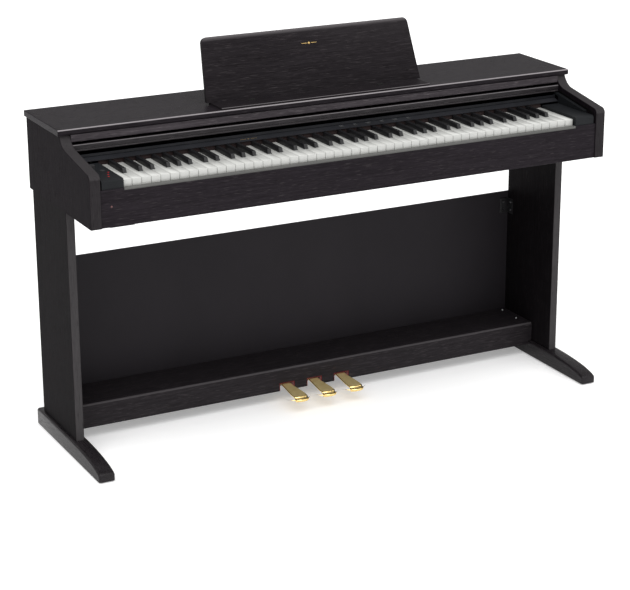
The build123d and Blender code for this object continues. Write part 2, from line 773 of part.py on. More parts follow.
def foot_outline():
    # low rounded nose that swells up to the leg, level under it
    toe = -half_depth
    nose_rise = foot_height - foot_nose_height
    with BuildLine() as outline:
        Line((toe, foot_pad), (toe, foot_nose_height))
        Spline((toe, foot_nose_height), (toe + 12, foot_nose_height + 0.28 * nose_rise),
               (toe + 50, foot_nose_height + 0.66 * nose_rise),
               (leg_front - 60, foot_height - 0.08 * nose_rise), (leg_front - 4, foot_height),
               tangents=((0.6, 1.0), (1.0, 0.0)))
        Polyline((leg_front - 4, foot_height), (half_depth, foot_height), (half_depth, foot_pad),
                 (toe, foot_pad))
    return outline.line


for side, foot_name in ((-1, "left_foot"), (1, "right_foot")):
    near, far = sorted((side * foot_inner, side * half_width))
    with BuildPart() as foot:
        with BuildSketch(Plane.YZ.offset(near)):
            with BuildLine():
                add(foot_outline())
            make_face()
        extrude(amount=far - near)
        fillet(foot.edges().filter_by(Axis.Z), foot_corner)
    write(foot, foot_name)

with BuildPart() as foot_pads:
    for side in (-1, 1):
        for y in (-half_depth + pad_inset, half_depth - pad_inset):
            rod((side * (half_width - foot_width / 2), y, foot_pad / 2), pad_radius, foot_pad, "z")
write(foot_pads, "foot_pads")

for side, leg_name in ((-1, "left_leg"), (1, "right_leg")):
    near, far = sorted((side * leg_inner, side * leg_outer))
    with BuildPart() as leg:
        block((near, leg_front, foot_height), (far, leg_back, body_bottom))
        fillet(leg.edges().filter_by(Axis.Z).group_by(Axis.Y)[0], leg_round)
    write(leg, leg_name)

bracket = 2.5
bracket_y = (20.0, 110.0)
bracket_reach = 36.0
bracket_drop = 44.0
with BuildPart() as leg_brackets:
    # steel angles that tie each leg to the keyboard body
    block((leg_inner - bracket, bracket_y[0], body_bottom - bracket_drop),
          (leg_inner, bracket_y[1], body_bottom))
    block((leg_inner - bracket_reach, bracket_y[0], body_bottom - bracket),
          (leg_inner, bracket_y[1], body_bottom))
    mirror(about=Plane.YZ)
write(leg_brackets, "leg_brackets")

screw_radius = 4.5
screw_head = 2.2
screw_inset = 15.0            # bracket screws in from the bracket's ends
panel_screw_heights = (80.0, 240.0, 400.0)
with BuildPart() as joint_screws:
    for side in (-1, 1):
        for y in (bracket_y[0] + screw_inset, bracket_y[1] - screw_inset):
            rod((side * (leg_inner - bracket - screw_head / 2), y, body_bottom - 0.64 * bracket_drop),
                screw_radius, screw_head, "x")
            rod((side * (leg_inner - 0.67 * bracket_reach), y, body_bottom - bracket - screw_head / 2),
                screw_radius, screw_head, "z")
        for z in panel_screw_heights:
            rod((side * (leg_inner + 9), leg_back + panel_thickness + screw_head / 2, z), screw_radius,
                screw_head, "y")
write(joint_screws, "joint_screws")

with BuildPart() as back_panel:
    block((-leg_outer + 3, leg_back, foot_height + panel_foot_gap),
          (leg_outer - 3, leg_back + panel_thickness, panel_top))
write(back_panel, "back_panel")

# ================================================================ pedal unit
pedal_xs = (-pedal_pitch, 0.0, pedal_pitch)
pedal_board_back = pedal_board_front + board
pedal_board_round = 8.0
with BuildPart() as pedal_board:
    block((-leg_inner, pedal_board_front, pedal_board_bottom), (leg_inner, pedal_board_back, pedal_board_top))
    top_edges = pedal_board.edges().filter_by(Axis.X).group_by(Axis.Z)[-1].sort_by(Axis.Y)
    fillet(top_edges[0], pedal_board_round)
    for side in (-1, 1):
        near, far = sorted((side * (foot_inner - 0.3), side * (leg_inner + 1)))
        block((near, pedal_board_front - 1, pedal_board_bottom - 1),
              (far, pedal_board_back + 1, foot_height), Mode.SUBTRACT)
    for x in pedal_xs:
        block((x - notch_width / 2, pedal_board_front - 1, pedal_board_bottom - 1),
              (x + notch_width / 2, pedal_board_back + 1, pedal_board_bottom + notch_height),
              Mode.SUBTRACT)
write(pedal_board, "pedal_board")

shelf_thickness = 12.0
with BuildPart() as pedal_shelf:
    # level board that closes the space between the pedal board and the back panel
    block((-leg_inner, pedal_board_back, pedal_board_top - shelf_thickness),
          (leg_inner, leg_back, pedal_board_top))
write(pedal_shelf, "pedal_shelf")

with BuildPart() as pedal_felts:
    for x in pedal_xs:
        block((x - notch_width / 2, pedal_board_front + 0.8, pedal_board_bottom),
              (x + notch_width / 2, pedal_board_back, pedal_board_bottom + notch_height))
        block((x - notch_width / 2 + felt, pedal_board_front, pedal_board_bottom - 1),
              (x + notch_width / 2 - felt, pedal_board_back + 1, pedal_board_bottom + notch_height - felt),
              Mode.SUBTRACT)
write(pedal_felts, "pedal_felts")

base_half = pedal_pitch + 34.0
base_plate = 3.0
base_lug = 12.0               # ears that screw to the pedal board's back
cheek_plate = 3.0
cheek_reach = 16.0            # axle cheeks, each way from the axle
with BuildPart() as pedal_base:
    # steel tray behind the pedal board, with four upright cheeks for the axle
    tray_front = pedal_board_back + 20
    block((-base_half, tray_front, pedal_board_bottom),
          (base_half, leg_back, pedal_board_bottom + base_plate))
    edge_cheek = base_half - cheek_plate / 2
    for x in (-edge_cheek, -pedal_pitch / 2, pedal_pitch / 2, edge_cheek):
        block((x - cheek_plate / 2, axle_y - cheek_reach, pedal_board_bottom),
              (x + cheek_plate / 2, axle_y + cheek_reach, axle_z + 12))
    for side in (-1, 1):
        near, far = sorted((side * base_half, side * (base_half - base_lug)))
        block((near, pedal_board_back, pedal_board_bottom),
              (far, tray_front + 1, pedal_board_bottom + base_plate))
        block((near, pedal_board_back, pedal_board_bottom), (far, pedal_board_back + 3, axle_z + 22))
    rod((0, axle_y, axle_z), axle_radius, 2 * base_half, "x", Mode.SUBTRACT)
write(pedal_base, "pedal_base")

with BuildPart() as pedal_axle:
    rod((0, axle_y, axle_z), axle_radius, 2 * base_half + 4, "x")
write(pedal_axle, "pedal_axle")

pedal_tip_y = pedal_board_front - pedal_reach
lever_y = pedal_board_back + 14.0


def pedal(x):
    with BuildPart() as piece:
        with BuildSketch(Plane.YZ.offset(x - pedal_width / 2)):
            with BuildLine():
                Line((axle_y + 22, axle_z + 6), (axle_y + 22, axle_z - 6))
                Line((axle_y + 22, axle_z - 6), (lever_y, axle_z - 14))
                Spline((lever_y, axle_z - 14), (pedal_board_front, 40.5), (pedal_tip_y + 30, 37),
                       (pedal_tip_y + 6, 32.5), tangents=((-1, -0.1), (-0.8, -0.5)))
                Spline((pedal_tip_y + 6, 32.5), (pedal_tip_y + 0.4, 35), (pedal_tip_y + 1.2, 40),
                       (pedal_tip_y + 14, 46))
                Spline((pedal_tip_y + 14, 46), (pedal_board_front, 49.5), (lever_y, axle_z - 4),
                       tangents=((1, 0.3), (1, 0.2)))
                Polyline((lever_y, axle_z - 4), (axle_y - 12, axle_z + 8), (axle_y + 12, axle_z + 8),
                         (axle_y + 22, axle_z + 6))
            make_face()
        extrude(amount=pedal_width)
        with BuildSketch(Plane.XY.offset(0)):
            with BuildLine():
                Polyline((x - pedal_neck / 2, axle_y + 24), (x - pedal_neck / 2, pedal_board_front + 4),
                         (x - pedal_width / 2, pedal_tip_y + 28), (x - pedal_width / 2, pedal_tip_y + 10))
                Spline((x - pedal_width / 2, pedal_tip_y + 10), (x, pedal_tip_y),
                       (x + pedal_width / 2, pedal_tip_y + 10), tangents=((0.3, -1), (0.3, 1)))
                Polyline((x + pedal_width / 2, pedal_tip_y + 10), (x + pedal_width / 2, pedal_tip_y + 28),
                         (x + pedal_neck / 2, pedal_board_front + 4), (x + pedal_neck / 2, axle_y + 24),
                         (x - pedal_neck / 2, axle_y + 24))
            make_face()
        extrude(amount=axle_z + 20, mode=Mode.INTERSECT)
        rod((x, axle_y, axle_z), axle_radius + axle_fit, 2 * pedal_width, "x", Mode.SUBTRACT)
    return piece


for x, pedal_name in zip(pedal_xs, ("soft_pedal", "sostenuto_pedal", "damper_pedal")):
    write(pedal(x), pedal_name)

spring_foot = pedal_board_bottom + base_plate
spring_head = axle_z - 7.6
with BuildPart() as pedal_springs:
    # pull springs behind the axle, drawing each pedal's tail down to the tray
    for x in pedal_xs:
        rod((x, axle_y + 17, (spring_foot + spring_head) / 2), 4.0, spring_head - spring_foot, "z")
write(pedal_springs, "pedal_springs")
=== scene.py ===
import math

import bmesh
import bpy
from mathutils import Matrix, Vector


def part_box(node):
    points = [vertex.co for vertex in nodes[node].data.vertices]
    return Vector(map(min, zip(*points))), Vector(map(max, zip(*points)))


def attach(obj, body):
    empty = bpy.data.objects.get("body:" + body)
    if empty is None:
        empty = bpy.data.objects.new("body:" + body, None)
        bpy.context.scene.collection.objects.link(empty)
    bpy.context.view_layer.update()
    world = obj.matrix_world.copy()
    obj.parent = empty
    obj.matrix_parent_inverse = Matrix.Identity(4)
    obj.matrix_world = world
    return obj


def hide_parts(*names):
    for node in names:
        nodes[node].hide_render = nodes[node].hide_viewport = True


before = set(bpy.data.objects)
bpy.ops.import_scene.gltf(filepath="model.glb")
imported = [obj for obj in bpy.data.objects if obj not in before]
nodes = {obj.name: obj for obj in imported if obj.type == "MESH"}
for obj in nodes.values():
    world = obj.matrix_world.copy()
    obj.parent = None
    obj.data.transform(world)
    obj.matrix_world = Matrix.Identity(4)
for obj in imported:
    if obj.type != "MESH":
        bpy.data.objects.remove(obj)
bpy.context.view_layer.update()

# Digital piano on its stand: camera, light and finishes around the imported cabinet. The keys,
# pedals, music rest, feet, screws, corner brackets, volume knob and marks are modelled here, with dark
# strips of painted shade for the cover's slots.

scene = bpy.context.scene


# ---- studio: camera, soft light, pale floor
studio = {
    "cameraPlace": (-2.20893, -4.24935, 1.91682),
    "cameraTurn": (71.3113, 0.2279, -27.309),
    "lens": 112.577,
    "sky": (1.0, 0.99, 0.985, 1.0),
    "skyStrength": 0.52,
    "keySun": 1.9,
    "fillSun": 1.0,
    "floorSize": 80.0,
    "floorGlow": 0.28,
}


def sunLight(name, strength, turn, softness):
    lamp = bpy.data.lights.new(name, "SUN")
    lamp.energy = strength
    lamp.angle = math.radians(softness)
    holder = bpy.data.objects.new(name, lamp)
    holder.rotation_euler = [math.radians(t) for t in turn]
    scene.collection.objects.link(holder)


def makeStudio():
    lensData = bpy.data.cameras.new("studioCamera")
    lensData.lens = studio["lens"]
    lensData.sensor_width = 36.0
    camera = bpy.data.objects.new("studioCamera", lensData)
    camera.location = studio["cameraPlace"]
    camera.rotation_euler = [math.radians(t) for t in studio["cameraTurn"]]
    scene.collection.objects.link(camera)
    scene.camera = camera

    world = bpy.data.worlds.new("softRoom")
    world.use_nodes = True
    background = world.node_tree.nodes["Background"]
    background.inputs["Color"].default_value = studio["sky"]
    background.inputs["Strength"].default_value = studio["skyStrength"]
    scene.world = world
    sunLight("keySun", studio["keySun"], (22, -20, 0), 60)
    sunLight("fillSun", studio["fillSun"], (34, 32, 0), 80)
    scene.view_settings.view_transform = "Standard"
    print("studio ready")


makeStudio()


# ---- finishes
class Reading:
    # a node's output that can stand in a sum
    def __init__(self, finish, socket):
        self.finish = finish
        self.socket = socket

    def maths(self, operation, first, second=0.0):
        return self.finish.add("ShaderNodeMath", {"operation": operation}, {0: first, 1: second})

    def __add__(self, other):
        return self.maths("ADD", self, other)

    def __radd__(self, other):
        return self.maths("ADD", other, self)

    def __sub__(self, other):
        return self.maths("SUBTRACT", self, other)

    def __rsub__(self, other):
        return self.maths("SUBTRACT", other, self)

    def __mul__(self, other):
        return self.maths("MULTIPLY", self, other)

    def __rmul__(self, other):
        return self.maths("MULTIPLY", other, self)

    def __abs__(self):
        return self.maths("ABSOLUTE", self)


class Finish:
    # one material: its shader, and the nodes that feed it
    def __init__(self, name, **steady):
        self.material = bpy.data.materials.new(name)
        self.material.use_nodes = True
        self.tree = self.material.node_tree
        self.shader = self.tree.nodes["Principled BSDF"]
        for socket, value in steady.items():
            self.shader.inputs[socket.replace("_", " ")].default_value = value
        self.place = self.add("ShaderNodeTexCoord", output="Object")

    def add(self, kind, settings=None, inputs=None, output=0):
        node = self.tree.nodes.new(kind)
        for key, value in (settings or {}).items():
            setattr(node, key, value)
        for key, value in (inputs or {}).items():
            if isinstance(value, Reading):
                self.tree.links.new(value.socket, node.inputs[key])
            else:
                node.inputs[key].default_value = value
        return Reading(self, node.outputs[output])

    def stretched(self, scales):
        return self.add("ShaderNodeVectorMath", {"operation": "MULTIPLY"}, {0: self.place, 1: scales})

    def noise(self, scales, detail=2.0, rough=0.55):
        return self.add("ShaderNodeTexNoise", {},
                        {"Vector": self.stretched(scales), "Scale": 1.0, "Detail": detail,
                         "Roughness": rough})

    def between(self, value, low, high):
        # 0 below low, 1 above high
        return self.add("ShaderNodeMapRange", {"interpolation_type": "SMOOTHSTEP"},
                        {"Value": value, "From Min": low, "From Max": high})

    def mix(self, first, second, mask):
        return self.add("ShaderNodeMix", {"data_type": "RGBA"},
                        {0: mask, 6: first, 7: second}, output=2)

    def facing(self, axis):
        # how far the surface faces along an axis, -1 to 1
        normal = self.add("ShaderNodeTexCoord", output="Normal")
        return self.add("ShaderNodeSeparateXYZ", {}, {0: normal}, axis)

    def bump(self, height, distance, strength=1.0):
        return self.add("ShaderNodeBump", {},
                        {"Height": height, "Distance": distance, "Strength": strength}, "Normal")

    def feed(self, **links):
        for socket, value in links.items():
            self.tree.links.new(value.socket, self.shader.inputs[socket.replace("_", " ")])
        return self.material


def colour(red, green, blue):
    return (red, green, blue, 1.0)


def shaded(parts, tone, tint=(1.0, 1.0, 1.0)):
    return colour(*(min(1.0, part * tone * share) for part, share in zip(parts, tint)))


wood = {
    "dark": (0.0150, 0.0125, 0.0145),
    "light": (0.036, 0.031, 0.035),
    "pore": (0.004, 0.003, 0.003),
    "fleck": (0.080, 0.070, 0.074),
    # colour of the painted light on the fronts and tops of upright boards
    "edge": (0.070, 0.066, 0.068),
    # colour of the painted highlight along rounded front edges
    "paintedHighlight": (0.30, 0.28, 0.29),
    "roughness": 0.42,
    # repeats a metre along and across the grain
    "streak": (5.0, 210.0),
    "fibre": (16.0, 620.0),
    "poreSize": (42.0, 1100.0),
    "fleckSize": (34.0, 760.0),
    # readings between which each mark goes from none to full
    "figureBand": (0.24, 0.80),
    "poreBand": (0.60, 0.72),
    "fleckBand": (0.60, 0.74),
    "fibreShare": 0.55,
    "poreShare": 0.55,
    "fleckShare": 0.7,
    "relief": 0.0005,
}


def grainScales(along, pair):
    return tuple(pair[0] if axis == along else pair[1] for axis in "xyz")


def laminate(name, along, tone=1.0, edgeLightPaint=0.0, roughness=None, glaze=0.12, tint=(1.0, 1.0, 1.0),
             edgeHighlightPaint=0.0, frontLightShare=1.0):
    # black rosewood film: soft streaks, fine fibres, short pores and pale flecks along the grain;
    # upright boards can get painted light on their fronts and tops, and rounded front edges a painted
    # highlight
    finish = Finish(name, Specular_IOR_Level=glaze)
    base = wood["roughness"] if roughness is None else roughness
    streak = finish.noise(grainScales(along, wood["streak"]), 3.0)
    fibre = finish.noise(grainScales(along, wood["fibre"]), 2.0)
    pore = finish.between(finish.noise(grainScales(along, wood["poreSize"]), 1.0), *wood["poreBand"])
    slow = finish.noise((1.7, 1.7, 1.7), 1.0)
    mixed = streak * (1.0 - wood["fibreShare"]) + fibre * wood["fibreShare"]
    figure = finish.between(mixed + (slow - 0.5) * 0.12, *wood["figureBand"])
    body = finish.mix(shaded(wood["dark"], tone, tint), shaded(wood["light"], tone, tint), figure)
    fleck = finish.between(finish.noise(grainScales(along, wood["fleckSize"]), 1.0), *wood["fleckBand"])
    body = finish.mix(body, shaded(wood["fleck"], tone), fleck * wood["fleckShare"])
    if edgeLightPaint:
        # painted light: the front and top faces of an upright board are painted paler than its sides,
        # the tops palest, as the light falls on them
        sideways, upward = finish.facing("X"), finish.facing("Z")
        share = frontLightShare + finish.between(upward, 0.04, 0.13) * (1.0 - frontLightShare)
        paintedLight = (1 - abs(sideways)) * share * edgeLightPaint
        body = finish.mix(body, colour(*wood["edge"]), paintedLight * (0.55 + fibre * 0.6))
    body = finish.mix(body, colour(*wood["pore"]), pore * wood["poreShare"])
    if edgeHighlightPaint:
        # painted highlight: a lighter line painted along rounded front edges, where the lamps catch
        # them
        upward, backward = finish.facing("Z"), finish.facing("Y")
        highlightRidge = finish.between(upward, 0.35, 0.60) * (1 - finish.between(upward, 0.88, 0.985))
        highlightRidge = highlightRidge * finish.between(0 - backward, 0.15, 0.35)
        body = finish.mix(body, colour(*wood["paintedHighlight"]), highlightRidge * edgeHighlightPaint)
    height = fibre * 0.6 + streak * 0.4 - pore * 0.8
    return finish.feed(Base_Color=body, Roughness=base + (fibre - 0.5) * 0.22 + pore * 0.2,
                       Normal=finish.bump(height, wood["relief"], 0.5))


def moulded(name, main, other, roughness, speck=1400.0, relief=0.00012, glaze=0.5):
    # spark-eroded plastic: fine even grain with slow changes of shade
    finish = Finish(name, Specular_IOR_Level=glaze)
    grain = finish.noise((speck, speck, speck), 2.0)
    slow = finish.noise((9.0, 9.0, 9.0), 3.0)
    body = finish.mix(colour(*main), colour(*other), finish.between(slow * 0.6 + grain * 0.4, 0.3, 0.7))
    return finish.feed(Base_Color=body,
                       Roughness=roughness + (slow - 0.5) * 0.12 + (grain - 0.5) * 0.1,
                       Normal=finish.bump(grain, relief, 0.6))


def metal(name, main, other, roughness, along):
    # drawn or brushed metal: fine lines along one axis, with cloudy polish
    finish = Finish(name, Metallic=1.0)
    lines = finish.noise(grainScales(along, (40.0, 2600.0)), 2.0)
    cloud = finish.noise((38.0, 38.0, 38.0), 3.0)
    mask = finish.between(lines * 0.5 + cloud * 0.5, 0.32, 0.68)
    return finish.feed(Base_Color=finish.mix(colour(*main), colour(*other), mask),
                       Roughness=roughness + (lines - 0.5) * 0.12 + (cloud - 0.5) * 0.12,
                       Normal=finish.bump(lines, 0.00006, 0.5))


def goldFinish(name):
    # lacquered brass: satin on the upper faces and bright on the rolled edges
    finish = Finish(name, Coat_Weight=0.25, Coat_Roughness=0.12)
    rubbed = finish.between(finish.facing("Z"), 0.93, 0.985)
    lines = finish.noise(grainScales("y", (30.0, 1500.0)), 2.0)
    cloud = finish.noise((45.0, 45.0, 45.0), 3.0)
    satin = finish.mix(colour(0.62, 0.47, 0.20), colour(0.74, 0.60, 0.30),
                       finish.between(lines * 0.5 + cloud * 0.5, 0.32, 0.68))
    body = finish.mix(colour(0.95, 0.70, 0.28), satin, rubbed)
    return finish.feed(Base_Color=body, Metallic=1.0 - rubbed * 0.55,
                       Roughness=0.20 + rubbed * 0.22 + (lines - 0.5) * 0.10 + (cloud - 0.5) * 0.10,
                       Normal=finish.bump(lines, 0.00006, 0.5))


def feltFinish(name, main, other):
    # pressed wool: fine fuzz over soft tufts
    finish = Finish(name, Specular_IOR_Level=0.15, Sheen_Weight=0.4)
    fuzz = finish.noise((2300.0, 2300.0, 2300.0), 4.0, 0.7)
    tufts = finish.noise((260.0, 260.0, 260.0), 3.0)
    body = finish.mix(colour(*main), colour(*other), finish.between(fuzz * 0.6 + tufts * 0.4, 0.3, 0.7))
    return finish.feed(Base_Color=body, Roughness=0.85 + (fuzz - 0.5) * 0.2,
                       Normal=finish.bump(fuzz * 0.5 + tufts, 0.0004, 0.8))


def hardboard(name):
    # back panel: pressed fibre sheet under a thin matt coat
    finish = Finish(name, Specular_IOR_Level=0.18)
    fibres = finish.noise((900.0, 900.0, 900.0), 4.0, 0.7)
    cloud = finish.noise((7.0, 7.0, 5.0), 4.0)
    body = finish.mix(colour(0.0125, 0.0105, 0.0130), colour(0.0185, 0.0158, 0.0190),
                      finish.between(fibres * 0.6 + cloud * 0.4, 0.25, 0.75))
    return finish.feed(Base_Color=body, Roughness=0.62 + (fibres - 0.5) * 0.2,
                       Normal=finish.bump(fibres, 0.0002, 0.5))


def keyWhite(name):
    # glossy key plastic; the fronts get a greyer colour than the tops as painted shade, and are less
    # polished than the tops
    finish = Finish(name, Coat_Roughness=0.08)
    top = finish.between(finish.facing("Z"), 0.55, 0.9)
    cloud = finish.noise((60.0, 30.0, 60.0), 3.0)
    polish = finish.noise((700.0, 160.0, 700.0), 2.0)
    body = finish.mix(colour(0.64, 0.645, 0.62), colour(0.70, 0.705, 0.68),
                      finish.between(cloud, 0.3, 0.7))
    # painted shade: faces that do not face up take the greyer front colour
    body = finish.mix(colour(0.52, 0.525, 0.505), body, top)
    return finish.feed(Base_Color=body, Coat_Weight=top * 0.35,
                       Roughness=0.30 + (cloud - 0.5) * 0.08 + (polish - 0.5) * 0.05 - top * 0.14,
                       Normal=finish.bump(polish, 0.00003, 0.3))


def circuitBoard(name):
    # green lacquer over copper tracks
    finish = Finish(name, Specular_IOR_Level=0.5)
    tracks = finish.add("ShaderNodeTexVoronoi",
                        {"distance": "MANHATTAN", "feature": "DISTANCE_TO_EDGE"},
                        {"Vector": finish.stretched((150.0, 150.0, 40.0)), "Scale": 1.0}, "Distance")
    copper = 1 - finish.between(tracks, 0.04, 0.09)
    cloud = finish.noise((30.0, 30.0, 30.0), 2.0)
    body = finish.mix(colour(0.010, 0.060, 0.022), colour(0.016, 0.095, 0.034), cloud)
    body = finish.mix(body, colour(0.09, 0.22, 0.06), copper)
    return finish.feed(Base_Color=body, Roughness=0.38 + cloud * 0.1 - copper * 0.08,
                       Normal=finish.bump(copper, 0.00008, 0.6))


def glowLens(name):
    # dull red lens of the power lamp, with a faint glow
    finish = Finish(name, Emission_Strength=0.2)
    depth = finish.noise((500.0, 500.0, 500.0), 2.0)
    body = finish.mix(colour(0.060, 0.028, 0.028), colour(0.10, 0.042, 0.040), depth)
    glow = finish.mix(colour(0.08, 0.02, 0.02), colour(0.20, 0.05, 0.045), depth)
    return finish.feed(Base_Color=body, Emission_Color=glow, Roughness=0.25 + depth * 0.15)


def studioFloor(name):
    # pale sweep, faintly lit from within to stay white
    finish = Finish(name, Specular_IOR_Level=0.1, Emission_Color=colour(1.0, 1.0, 1.0),
                    Emission_Strength=studio["floorGlow"])
    cloud = finish.noise((0.6, 0.6, 0.6), 2.0)
    body = finish.mix(colour(0.90, 0.90, 0.90), colour(0.93, 0.93, 0.93), cloud)
    return finish.feed(Base_Color=body, Roughness=0.75 + cloud * 0.1)


looks = {
    "top": laminate("topLaminate", "x", 0.56, roughness=0.40, glaze=0.05, tint=(1.0, 0.96, 1.03),
                    edgeHighlightPaint=0.85),
    "front": laminate("frontLaminate", "x", 0.62, glaze=0.04, tint=(1.0, 0.96, 1.04)),
    # the fascia's laminate is about three times lighter than the others: painted light against the
    # shade under the top panel's overhang
    "fascia": laminate("fasciaLightenedLaminate", "x", 1.9, glaze=0.12),
    "pedalBoard": laminate("pedalBoardLaminate", "x", 0.66, roughness=0.5, glaze=0.08, edgeHighlightPaint=0.16),
    # the uprights and legs get about half the top's tone: painted shade for their dimly lit sides, with
    # painted light on their fronts and tops
    "upright": laminate("uprightLaminate", "z", 0.30, edgeLightPaint=0.60, roughness=0.55, glaze=0.015,
                        tint=(1.0, 0.90, 1.02), frontLightShare=0.55),
    "leg": laminate("legLaminate", "z", 0.28, edgeLightPaint=0.80, roughness=0.55, glaze=0.015),
    "foot": laminate("footLaminate", "y", 0.55, roughness=0.28, glaze=0.16),
    "rest": laminate("restLaminate", "x", 0.60, roughness=0.5, glaze=0.03, edgeHighlightPaint=0.45),
    "cover": laminate("coverLaminate", "x", 0.7, roughness=0.38, glaze=0.15),
    "bar": laminate("barLaminate", "x", 0.75, roughness=0.30, glaze=0.22, edgeHighlightPaint=0.40),
    "board": laminate("boardLaminate", "x", 0.7, roughness=0.6, glaze=0.05),
    "hardboard": hardboard("backHardboard"),
    "strip": moulded("slipGrey", (0.085, 0.085, 0.082), (0.115, 0.115, 0.11), 0.5, glaze=0.2),
    "cheek": moulded("cheekCharcoal", (0.009, 0.010, 0.011), (0.015, 0.016, 0.018), 0.45, glaze=0.10),
    "panel": moulded("panelBlueGrey", (0.0115, 0.012, 0.0145), (0.018, 0.0185, 0.022), 0.36,
                     glaze=0.25),
    "button": moulded("buttonGrey", (0.022, 0.022, 0.023), (0.036, 0.036, 0.037), 0.4, glaze=0.3),
    "white": keyWhite("keyWhite"),
    "black": moulded("keyBlack", (0.006, 0.006, 0.007), (0.011, 0.011, 0.012), 0.30, 900.0),
    "felt": feltFinish("redFelt", (0.090, 0.004, 0.006), (0.19, 0.008, 0.010)),
    "darkFelt": feltFinish("darkKeyFelt", (0.012, 0.006, 0.006), (0.026, 0.011, 0.011)),
    "steel": metal("zincSteel", (0.42, 0.43, 0.45), (0.55, 0.56, 0.58), 0.42, "x"),
    "blackSteel": moulded("blackSteel", (0.010, 0.010, 0.011), (0.018, 0.018, 0.019), 0.45,
                          1100.0, 0.0002, 0.3),
    "brightSteel": metal("brightSteel", (0.56, 0.57, 0.58), (0.68, 0.69, 0.70), 0.26, "x"),
    "darkScrew": metal("darkScrew", (0.10, 0.10, 0.105), (0.16, 0.16, 0.165), 0.38, "x"),
    "circuit": circuitBoard("greenCircuit"),
    "speaker": moulded("speakerBlack", (0.008, 0.008, 0.009), (0.016, 0.016, 0.017), 0.6,
                       700.0, 0.0003, 0.2),
    "socket": moulded("socketBlack", (0.010, 0.010, 0.011), (0.018, 0.018, 0.018), 0.5, glaze=0.25),
    "jack": metal("jackNickel", (0.50, 0.49, 0.46), (0.64, 0.62, 0.58), 0.24, "y"),
    "rubber": moulded("blackRubber", (0.012, 0.012, 0.012), (0.022, 0.021, 0.020), 0.8,
                      600.0, 0.0003, 0.2),
    "lamp": glowLens("lampRed"),
    "gold": goldFinish("pedalGold"),
    "silverMark": metal("markSilver", (0.45, 0.46, 0.48), (0.60, 0.61, 0.62), 0.4, "x"),
    "goldMark": metal("markGold", (0.62, 0.42, 0.15), (0.75, 0.55, 0.25), 0.35, "x"),
    "redMark": moulded("markRed", (0.42, 0.010, 0.015), (0.55, 0.018, 0.022), 0.5, glaze=0.1),
    # near-black painted shade for the slots beside the cover
    "slotShade": moulded("slotShadeBlack", (0.002, 0.002, 0.002), (0.004, 0.004, 0.004), 0.8, glaze=0.05),
}
print("finishes made")

nodeLooks = {
    "top": ["top_panel"],
    "front": ["front_rail"],
    "fascia": ["fascia"],
    "pedalBoard": ["pedal_board"],
    "upright": ["left_arm", "right_arm"],
    "leg": ["left_leg", "right_leg"],
    "foot": ["left_foot", "right_foot"],
    "rest": ["music_rest", "rest_ledge"],
    "cover": ["key_cover"],
    "bar": ["cover_bar"],
    "board": ["bottom_board", "rear_board", "pedal_shelf"],
    "hardboard": ["back_panel"],
    "strip": ["key_slip"],
    "cheek": ["left_cheek_block", "right_cheek_block", "cover_guides"],
    "panel": ["name_board"],
    "button": ["power_button", "panel_buttons", "volume_knob"],
    "white": ["bass_naturals", "treble_naturals", "key_c", "key_d", "key_e"],
    "black": ["bass_sharps", "treble_sharps", "key_c_sharp", "key_d_sharp"],
    "felt": ["pedal_felts"],
    "darkFelt": ["key_felts"],
    "steel": ["keyboard_chassis"],
    "blackSteel": ["hammer_levers", "leg_brackets", "pedal_base"],
    "brightSteel": ["key_rod", "pedal_axle", "pedal_springs", "joint_screws"],
    "circuit": ["contact_board", "main_board"],
    "speaker": ["speakers", "speaker_grilles"],
    "socket": ["headphone_box", "dc_inlet", "usb_socket", "pedal_socket"],
    "jack": ["headphone_jacks"],
    "rubber": ["foot_pads", "page_stops"],
    "lamp": ["power_lamp"],
    "gold": ["soft_pedal", "sostenuto_pedal", "damper_pedal"],
}
for look, names in nodeLooks.items():
    for name in names:
        nodes[name].data.materials.clear()
        nodes[name].data.materials.append(looks[look])
print("finishes on", sum(len(names) for names in nodeLooks.values()), "of", len(nodes), "nodes")


# ---- making pieces
bothSides = (-1, 1)
near = 1e-5        # two places closer than this are the same


def slab(bm, corners, push):
    # a flat outline pushed into a solid; gives its vertices
    start = [bm.verts.new(corner) for corner in corners]
    face = bm.faces.new(start)
    grown = bmesh.ops.extrude_face_region(bm, geom=[face])
    moved = [item for item in grown["geom"] if isinstance(item, bmesh.types.BMVert)]
    bmesh.ops.translate(bm, verts=moved, vec=push)
    return start + moved


def softenEdges(bm, edges, offset, segments):
    bmesh.ops.bevel(bm, geom=list(edges), offset=offset, offset_type="OFFSET", affect="EDGES",
                    segments=segments, profile=0.5, material=-1)


def box(bm, low, high):
    # a block between two corners
    middle = [(a + b) / 2 for a, b in zip(low, high)]
    size = [b - a for a, b in zip(low, high)]
    place = Matrix.Translation(middle) @ Matrix.Diagonal(size + [1.0])
    return bmesh.ops.create_cube(bm, size=1.0, matrix=place)["verts"]


def edgesOf(verts):
    # the edges that run between the given vertices
    own = set(verts)
    return {edge for vert in verts for edge in vert.link_edges if edge.other_vert(vert) in own}


def keep(name, bm, look, body, replaced=(), sharpAngle=38.0):
    # turns a finished bmesh into a piece of the piano
    bmesh.ops.recalc_face_normals(bm, faces=bm.faces)
    mesh = bpy.data.meshes.new(name)
    bm.to_mesh(mesh)
    bm.free()
    mesh.polygons.foreach_set("use_smooth", [True] * len(mesh.polygons))
    mesh.set_sharp_from_angle(angle=math.radians(sharpAngle))
    mesh.materials.append(looks[look])
    piece = bpy.data.objects.new(name, mesh)
    scene.collection.objects.link(piece)
    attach(piece, body)
    if replaced:
        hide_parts(*replaced)


